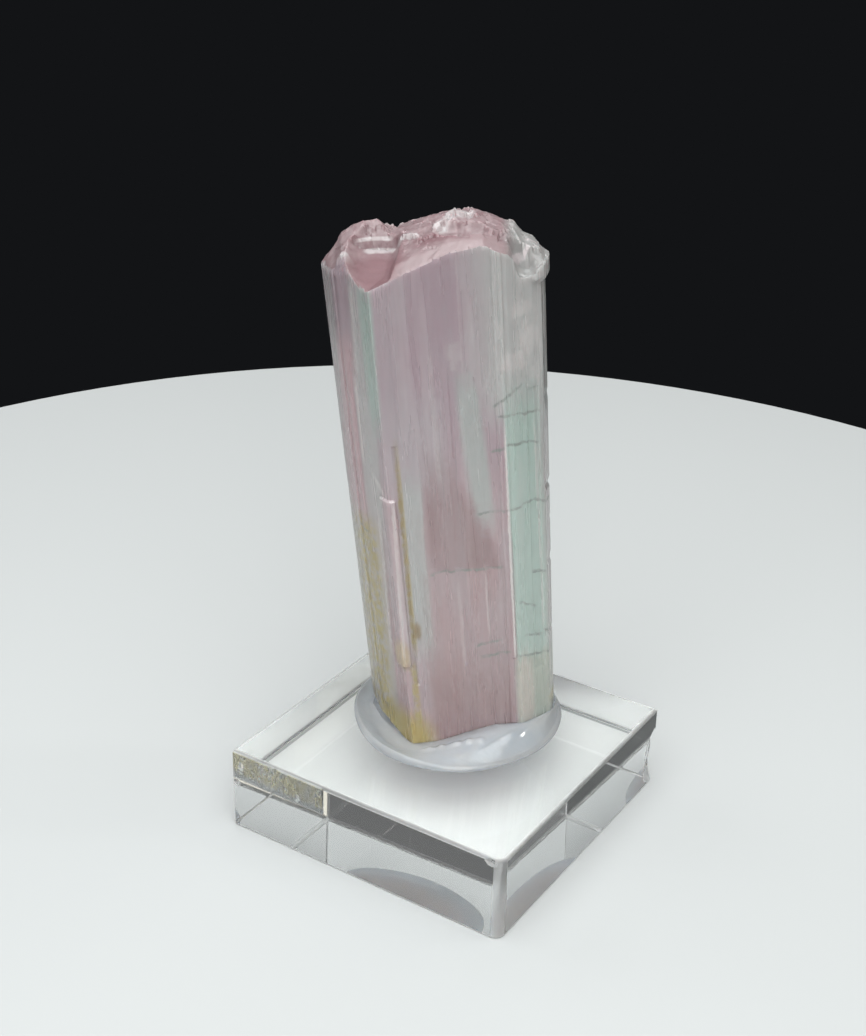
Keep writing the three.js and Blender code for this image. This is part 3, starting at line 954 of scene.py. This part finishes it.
def front_colours(shader, colour, r, h, low_noise):
    """Zones of the broad front and the two faces beside it, each laid over the ones before."""
    ramp = shader.ramp
    band = shader.band
    streak = shader.streak
    times = shader.times
    clouds = times(ramp(low_noise, 0.42, 0.62), 0.55)
    middle_grey = times(band(r, -6.4, 0.2, 0.7), band(h, 31, 42, 3.0), 0.75)
    left_grey = times(band(r, -5.0, -2.6, 0.4), band(h, 13, 33, 2.5), 0.7)
    upper_right = times(ramp(r, 1.5, 6.5), ramp(h, 36, 43), 0.9)
    stripe = times(streak(r, h, (2.5, 44.0), (3.6, 27.5), 2.1, 3.0), 0.85)
    # Deep pink wedge: narrow at its top, wider downwards, ended by a crack
    slant = shader.math("MULTIPLY_ADD", h, 0.39, r)
    wedge = times(ramp(r, -3.2, -1.9), ramp(slant, 14.8, 13.3), ramp(h, 22.1, 22.7), ramp(h, 38, 35))
    wedge = times(wedge, ramp(h, 38, 27, 0.2, 1.0), ramp(low_noise, 0.3, 0.6, 1.0, 0.6))
    lower = times(band(r, -3.4, 5.7, 0.5), ramp(h, 22.6, 22.0), ramp(h, 16, 4, 0.25, 0.75))
    right = times(ramp(r, 6.0, 6.6), ramp(h, 45, 38), ramp(r, 10.4, 9.3, 0.35, 1.0))
    low_right = times(ramp(r, 5.7, 6.4), ramp(h, 12.0, 9.5), 0.75)
    foot_pale = times(shader.spot(r, h, (7.1, 5.8), (0.9, 5.8), 0.35), 0.75)
    left_edge = times(band(r, -12, -10.2, 0.3), 0.5)
    pink_band = streak(r, h, (-9.4, 47.0), (-9.6, 25.5), 1.7, 2.0)
    low_left = times(ramp(r, -6.9, -7.6), ramp(h, 30, 24), 0.6)
    left_pale = times(streak(r, h, (-7.6, 54.0), (-7.6, 27.0), 1.6, 3.0), 0.7)
    left_green = times(streak(r, h, (-6.65, 53.5), (-6.75, 39.0), 1.1, 3.0), 0.7)
    # Painted glints: a pale speckle laid into the cloudy spots
    glint_speckle = ramp(low_noise, 0.3, 0.5, 0.3, 1.0)
    cloudy = shader.mix(ramp(low_noise, 0.4, 0.6), CLOUDY, PALE)
    cloud_and_glint_spots = [
        (times(shader.spot(r, h, centre, half, 0.5), share, glint_speckle), cloudy)
        for centre, half, share in CLOUDY_GLINT_SPOTS
    ]
    return shader.layers(colour, [
        (clouds, LILAC_GREY),
        (middle_grey, LILAC_GREY),
        (left_grey, GREEN_GREY),
        (upper_right, CLEAR_GREY),
        (stripe, GREEN_GREY),
        (wedge, DEEP_PINK),
        (lower, LOW_PINK),
        *cloud_and_glint_spots,
        (right, GREEN),
        (low_right, PALE_GREEN),
        (foot_pale, FOOT_PALE),
        (left_edge, CLEAR_GREY),
        (pink_band, EDGE_PINK),
        (low_left, PALE_GREEN),
        (left_pale, CLEAR_GREY),
        (left_green, BOTTLE_GREEN),
    ])


def inside_outline(shader, r, f):
    """Distance in from the nearest side of the section."""
    distances = []
    for start, end in zip(SECTION, SECTION[1:] + SECTION[:1]):
        length = math.dist(start, end)
        in_r = -(end[1] - start[1]) / length
        in_f = (end[0] - start[0]) / length
        offset = -(start[0] * in_r + start[1] * in_f)
        distances.append(shader.math("MULTIPLY_ADD", f, in_f, shader.math("MULTIPLY_ADD", r, in_r, offset)))
    return shader.join("MINIMUM", distances)


def stain_colours(shader, colour, r, h, breakup):
    """Yellow iron stain at the left edge, along the rib and round the tip."""
    ramp = shader.ramp
    spot = shader.spot
    streak = shader.streak
    times = shader.times
    left = times(streak(r, h, (-8.9, 27.0), (-9.0, 2.0), 2.3, 1.5), ramp(breakup, 0.38, 0.6), 0.85)
    tip = times(spot(r, h, (-6.4, 1.6), (2.9, 3.4), 0.45), 0.85)
    seam = streak(r, h, (-4.92, 37.5), (-4.72, 13.0), 0.5, 1.0)
    seam = times(seam, ramp(breakup, 0.35, 0.6, 0.5, 0.85), ramp(h, 38, 31, 0.3, 1.0))
    low_seam = times(streak(r, h, (-5.1, 11.5), (-4.9, 3.5), 0.7, 1.0), ramp(breakup, 0.35, 0.6, 0.2, 0.8))
    return shader.layers(colour, [
        (left, STAIN),
        (tip, TIP_YELLOW),
        (seam, RUST),
        (low_seam, STAIN),
        (times(spot(r, h, (-6.1, 12.6), (0.8, 1.8), 0.4), 0.55), RIB_YELLOW),
        (times(spot(r, h, (-4.3, 15.4), (0.42, 1.0), 0.4), 0.8), RUST_SPOT),
        (times(spot(r, h, (10.3, 4.2), (0.6, 0.9), 0.4), 0.6), STAIN),
    ])


def top_colours(shader, r, f, h, breakup):
    """The broken top: pink, with painted shade as deep pink in its hollow and in the band behind the front
    bevel, the bevel painted paler as painted light, and white where it is freshly chipped.
    """
    ramp = shader.ramp
    streak = shader.streak
    times = shader.times
    pink = shader.mix(ramp(breakup, 0.35, 0.65), TOP_PINK, TOP_PALE)
    from_wall = shader.math("MULTIPLY_ADD", r, -0.205, shader.math("ADD", f, 4.97))
    # Painted light: the front bevel, which faces the front, is painted paler
    bevel = times(ramp(from_wall, 1.3, 0.9), shader.band(r, -4.4, 6.8, 0.5), 0.8)
    # Painted shade: the band behind the front bevel is painted deep pink
    middle = times(streak(r, f, (-1.6, -2.2), (4.2, -2.4), 1.6, 0.7), 0.8)
    # Painted shade: the hollow at the left of the top is painted deep pink
    shaded_hollow = times(shader.spot(r, f, (-5.2, -3.4), (2.5, 3.2), 0.3), 0.95)
    right_lip = times(ramp(r, 6.8, 8.4), 0.9)
    flaked = ramp(breakup, 0.3, 0.5, 0.4, 0.95)
    flakes = [
        (times(streak(r, f, start, end, width, 0.35), flaked), TOP_WHITE)
        for start, end, width in FLAKES
    ]
    at_ledge = times(shader.band(f, 0.1, 1.5, 0.2), ramp(breakup, 0.3, 0.5, 0.5, 0.95))
    ledges = [
        (times(streak(r, h, start, end, width, 0.4), at_ledge), TOP_WHITE)
        for start, end, width in LEDGE_EDGES
    ]
    return shader.layers(pink, [
        (bevel, TOP_PALE),
        (middle, TOP_PAINTED_SHADE),
        (shaded_hollow, TOP_PAINTED_SHADE),
        (right_lip, TOP_GREY),
        *flakes,
        *ledges,
    ])


def tourmaline():
    """Striated crystal: colour zones, stains, pale lines that are partly painted highlights along its ridges,
    dark cracks in front, and the broken top.
    """
    shader = Shader("tourmaline")
    r, f, h = crystal_axes(shader)
    cloud = shader.combine(r, f, shader.math("MULTIPLY", h, 0.22))
    low_noise = shader.noise(cloud, 0.32, 3.0, 0.55)
    grain = shader.combine(r, f, shader.math("MULTIPLY", h, 0.06))
    streaks = shader.noise(grain, 0.9, 3.0, 0.55)
    fine = shader.noise(grain, 3.2, 2.0, 0.5)
    breakup = shader.noise(shader.combine(r, f, h), 1.1, 4.0, 0.65)
    wander = shader.math("SUBTRACT", breakup, 0.5)
    soft_r = shader.math("MULTIPLY_ADD", shader.math("SUBTRACT", streaks, 0.5), 1.2, r)
    soft_h = shader.math("MULTIPLY_ADD", wander, 4.0, h)
    near_r = shader.math("MULTIPLY_ADD", wander, 0.35, r)
    near_h = shader.math("MULTIPLY_ADD", wander, 0.7, h)
    body = shader.mix(shader.ramp(soft_h, 42, 22), MAUVE, PINK)
    front = front_colours(shader, body, soft_r, soft_h, low_noise)
    front = stain_colours(shader, front, near_r, near_h, breakup)
    back_green = shader.times(shader.ramp(low_noise, 0.4, 0.55), shader.ramp(soft_h, 50, 30), 0.8)
    back = shader.mix(back_green, body, GREEN)
    colour = shader.mix(shader.ramp(f, 1.6, 3.2), front, back)
    on_front = shader.ramp(f, 3.0, 1.6)
    # Painted highlights along the sharp ridges, laid with pale streaks of the crystal's own tone
    pale_and_highlight_lines = [
        shader.times(shader.streak(near_r, near_h, start, end, width, 1.5), strength)
        for start, end, width, strength in PALE_AND_HIGHLIGHT_LINES
    ]
    colour = shader.mix(shader.times(shader.join("MAXIMUM", pale_and_highlight_lines), on_front), colour, PALE)
    cracks = [shader.streak(near_r, near_h, start, end, CRACK_WIDTH, 0.25) for start, end in CRACKS]
    cracks = shader.times(shader.join("MAXIMUM", cracks), on_front)
    colour = shader.mix(shader.times(cracks, shader.ramp(breakup, 0.35, 0.6, 0.3, 0.85)), colour, SHADE)
    colour = shader.mix(shader.ramp(streaks, 0.5, 0.75, 0.0, 0.16), colour, PALE)
    colour = shader.mix(shader.ramp(fine, 0.5, 0.3, 0.0, 0.06), colour, SHADE)
    facing = shader.dot(shader.node("ShaderNodeNewGeometry").outputs["Normal"], (0.0, 0.0, 1.0))
    scale = shader.math("MULTIPLY_ADD", h, SCALE_PER_MM, FOOT_SCALE)
    deep = inside_outline(shader, shader.math("DIVIDE", r, scale), shader.math("DIVIDE", f, scale))
    broken = shader.math("MAXIMUM", shader.ramp(facing, 0.22, 0.42), shader.ramp(deep, 0.45, 0.65))
    top = shader.times(broken, shader.ramp(h, 51.0, 52.2))
    colour = shader.mix(top, colour, top_colours(shader, near_r, f, h, breakup))
    surface = shader.surface
    shader.feed(surface.inputs["Base Color"], colour)
    surface.inputs["IOR"].default_value = 1.63
    surface.inputs["Transmission Weight"].default_value = 0.3
    surface.inputs["Subsurface Weight"].default_value = 0.75
    surface.inputs["Subsurface Radius"].default_value = (1.0, 0.85, 0.85)
    surface.inputs["Subsurface Scale"].default_value = 1.6 * MM
    rough = shader.ramp(streaks, 0.3, 0.7, 0.18, 0.34)
    shader.feed(surface.inputs["Roughness"], shader.math("MULTIPLY_ADD", top, 0.15, rough))
    relief = shader.math("MULTIPLY_ADD", cracks, -0.8, fine)
    shader.feed(surface.inputs["Normal"], shader.bump(relief, 0.4, 0.05 * MM))
    return shader.material


# Acrylic colours: clear, and the tints of the rough patch, which are painted glints and reflections: gold and
# pale, and blue along its lower edge
CLEAR = (0.985, 0.995, 0.99, 1)
PATCH_GOLD_REFLECTION = (0.93, 0.87, 0.56, 1)
PATCH_PALE_GLINT = (0.92, 0.94, 0.90, 1)
PATCH_BLUE_REFLECTION = (0.76, 0.85, 0.90, 1)
# Cloudiness and roughness of the worn edges and of the rough patch, and the patch's relief; the patch's
# cloudiness lets its painted reflections show as a lighter patch
WORN_CLOUD = 0.16
WORN_ROUGH = 0.3
PATCH_CLOUD = 0.22
PATCH_ROUGH = 0.14
PATCH_RELIEF = 2.2


def acrylic():
    """Clear and polished, with worn edges and a rough, cracked patch on the front left wall whose tints are
    painted glints and reflections.
    """
    shader = Shader("acrylic")
    ramp = shader.ramp
    times = shader.times
    place_m = shader.node("ShaderNodeTexCoord").outputs["Object"]
    x, y, z = part_axes(shader, place_m)
    facing = shader.node("ShaderNodeNewGeometry").outputs["True Normal"]
    widest = shader.join("MAXIMUM", [shader.math("ABSOLUTE", shader.dot(facing, axis)) for axis in AXES])
    worn = ramp(widest, 0.998, 0.985)
    front_wall = ramp(y, -17.3, -17.45)
    patch = times(front_wall, ramp(x, -4.9, -5.2), shader.band(z, 6.5, 9.75, 0.12))
    broken = shader.noise(shader.combine(x, y, times(z, 0.6)), 1.4, 4.0, 0.7)
    strokes = shader.noise(shader.combine(x, y, times(z, 0.12)), 2.6, 2.0, 0.6)
    relief = shader.math("ADD", broken, times(strokes, ramp(x, -14.0, -10.0)))
    scuffs = shader.noise(shader.combine(x, y, z), 0.5, 4.0, 0.7)
    frost = shader.noise(shader.combine(x, y, z), 2.2, 3.0, 0.75)
    # Painted glints and reflections in the rough patch: gold and pale, and blue along its lower edge
    tint = shader.mix(ramp(broken, 0.45, 0.6), PATCH_GOLD_REFLECTION, PATCH_PALE_GLINT)
    tint = shader.mix(times(ramp(z, 7.3, 6.9), 0.8), tint, PATCH_BLUE_REFLECTION)
    colour = shader.mix(patch, CLEAR, tint)
    surface = shader.surface
    shader.feed(surface.inputs["Base Color"], colour)
    scuffed = ramp(scuffs, 0.55, 0.75, 0.0, 0.03)
    frosted = times(front_wall, ramp(frost, 0.5, 0.7, 0.0, 0.16))
    rough = shader.join("MAXIMUM", [scuffed, frosted, times(worn, WORN_ROUGH), times(patch, PATCH_ROUGH)])
    shader.feed(surface.inputs["Roughness"], rough)
    surface.inputs["IOR"].default_value = 1.49
    cloudy = shader.math("MAXIMUM", times(worn, WORN_CLOUD), times(patch, PATCH_CLOUD))
    shader.feed(surface.inputs["Transmission Weight"], shader.math("SUBTRACT", 1.0, cloudy))
    shader.feed(surface.inputs["Normal"], shader.bump(times(relief, patch), 1.0, PATCH_RELIEF * MM))
    return shader.material


# Putty colours: its body, and its pressed underside seen through the block: lighter where pressed, partly
# painted light, with a pink middle painted as the light come through the crystal
PUTTY_DARK = (0.53, 0.57, 0.62, 1)
PUTTY_LIGHT = (0.58, 0.61, 0.65, 1)
UNDER_BLUE = (0.78, 0.84, 1.0, 1)
UNDER_PINK_PAINTED_LIGHT = (1.0, 0.86, 0.90, 1)
UNDER_HALF = (7.6, 7.6)


def putty():
    """Milky and glossy, lighter underneath where it is pressed on the block, with the crystal's pink painted
    into its underside as light showing through.
    """
    shader = Shader("putty")
    place_m = shader.node("ShaderNodeTexCoord").outputs["Object"]
    cloud = shader.noise(place_m, 0.35 / MM, 3.0, 0.55)
    smear = shader.noise(place_m, 1.6 / MM, 2.0, 0.5)
    colour = shader.mix(shader.ramp(cloud, 0.3, 0.7), PUTTY_DARK, PUTTY_LIGHT)
    x, y, z = part_axes(shader, place_m)
    pressed = shader.ramp(z, BLOCK_HEIGHT + 0.3, BLOCK_HEIGHT + 0.05)
    # Painted light: the pressed underside is lighter, and pink in the middle as light come through the
    # crystal
    under_with_painted_light = shader.mix(shader.spot(x, y, PAD_MIDDLE, UNDER_HALF, 0.3), UNDER_BLUE, UNDER_PINK_PAINTED_LIGHT)
    colour = shader.mix(pressed, colour, under_with_painted_light)
    surface = shader.surface
    shader.feed(surface.inputs["Base Color"], colour)
    shader.feed(surface.inputs["Roughness"], shader.ramp(smear, 0.3, 0.7, 0.04, 0.08))
    surface.inputs["IOR"].default_value = 1.48
    shader.feed(surface.inputs["Transmission Weight"], shader.math("MULTIPLY_ADD", pressed, -0.3, 0.46))
    surface.inputs["Subsurface Weight"].default_value = 0.8
    surface.inputs["Subsurface Radius"].default_value = (0.8, 0.9, 1.0)
    surface.inputs["Subsurface Scale"].default_value = 9.0 * MM
    shader.feed(surface.inputs["Normal"], shader.bump(cloud, 0.5, 0.2 * MM))
    return shader.material


# Stage

FLOOR_CENTRE = (-11.5, 12.3)
FLOOR_RADIUS = 126.0
FLOOR_DROP = 0.1
CARD_SIDE = 34.0
CARD_DROP = 0.06
FLOOR_POINTS = 128
FLOOR_COLOUR = (0.50, 0.515, 0.52, 1)
CARD_COLOUR = (0.95, 0.96, 0.96, 1)
DARK_ROOM = (0.0065, 0.007, 0.008, 1)

# Area lights: name, place, target, width and height, power in watts, colour
WHITE = (1.0, 1.0, 1.0)
LIGHTS = [
    ("overhead", (80, -160, 470), (0, 0, 0), (560, 560), 4.1, (0.97, 1.0, 0.99)),
    ("behind", (-150, 250, 450), (0, 0, 0), (300, 300), 0.3, WHITE),
    ("spark", (50, -75, 500), (4, -6, 12), (34, 34), 0.18, WHITE),
    ("right spark", (268, 188, 404), (8, -1, 12), (30, 30), 0.11, WHITE),
    ("right behind", (330, 460, 410), (0, 0, 5), (360, 360), 0.34, (1.0, 0.97, 0.84)),
    ("front", (260, -360, 230), (0, 0, 30), (220, 220), 0.85, (1.0, 0.96, 0.93)),
    ("left", (-520, -20, 360), (0, 0, 30), (520, 380), 0.8, WHITE),
    ("back", (-300, 620, 330), (0, 0, 30), (900, 500), 0.15, WHITE),
]


def plain(name, colour, rough):
    """A material of one colour."""
    shader = Shader(name)
    shader.surface.inputs["Base Color"].default_value = colour
    shader.surface.inputs["Roughness"].default_value = rough
    return shader.material


def build_floor():
    """The round white table, and a white card under the block."""
    ring = []
    for k in range(FLOOR_POINTS):
        turn = 2 * math.pi * k / FLOOR_POINTS
        x = FLOOR_CENTRE[0] + FLOOR_RADIUS * math.cos(turn)
        y = FLOOR_CENTRE[1] + FLOOR_RADIUS * math.sin(turn)
        ring.append((x * MM, y * MM, -FLOOR_DROP * MM))
    floor = new_object("floor", ring, [tuple(range(FLOOR_POINTS))])
    floor.data.materials.append(plain("floor", FLOOR_COLOUR, 0.75))
    half = CARD_SIDE / 2 * MM
    square = ((-half, -half), (half, -half), (half, half), (-half, half))
    corners = [(x, y, -CARD_DROP * MM) for x, y in square]
    card = new_object("card", corners, [(0, 1, 2, 3)])
    card.data.materials.append(plain("card", CARD_COLOUR, 0.8))


def add_light(name, place_mm, target_mm, size, power, colour):
    data = bpy.data.lights.new(name, "AREA")
    data.shape = "RECTANGLE"
    data.size = size[0] * MM
    data.size_y = size[1] * MM
    data.energy = power
    data.color = colour
    light = bpy.data.objects.new(name, data)
    light.location = Vector(place_mm) * MM
    light.visible_camera = False
    direction = Vector(target_mm) - Vector(place_mm)
    light.rotation_euler = direction.to_track_quat("-Z", "Y").to_euler()
    bpy.context.scene.collection.objects.link(light)


def build_camera():
    data = bpy.data.cameras.new("camera")
    data.lens = CAMERA_LENS
    data.sensor_width = 36
    data.clip_start = 0.005
    camera = bpy.data.objects.new("camera", data)
    camera.location = Vector(CAMERA_PLACE) * MM
    camera.rotation_euler = [math.radians(a) for a in CAMERA_TURN]
    bpy.context.scene.collection.objects.link(camera)
    bpy.context.scene.camera = camera


def build_studio():
    world = bpy.data.worlds.new("studio")
    bpy.context.scene.world = world
    world.use_nodes = True
    background = world.node_tree.nodes["Background"]
    background.inputs["Color"].default_value = DARK_ROOM
    background.inputs["Strength"].default_value = 1.0
    bpy.context.scene.view_settings.view_transform = "Standard"
    for light in LIGHTS:
        add_light(*light)


build_camera()
build_studio()
build_floor()

crystal = build_crystal()
crystal.data.materials.append(tourmaline())
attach(crystal, "root")
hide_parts("tourmaline_crystal")

pad = build_putty()
pad.data.materials.append(putty())
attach(pad, "root")
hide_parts("putty_pad")

block = build_block()
block.data.materials.append(acrylic())
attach(block, "root")
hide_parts("acrylic_base")
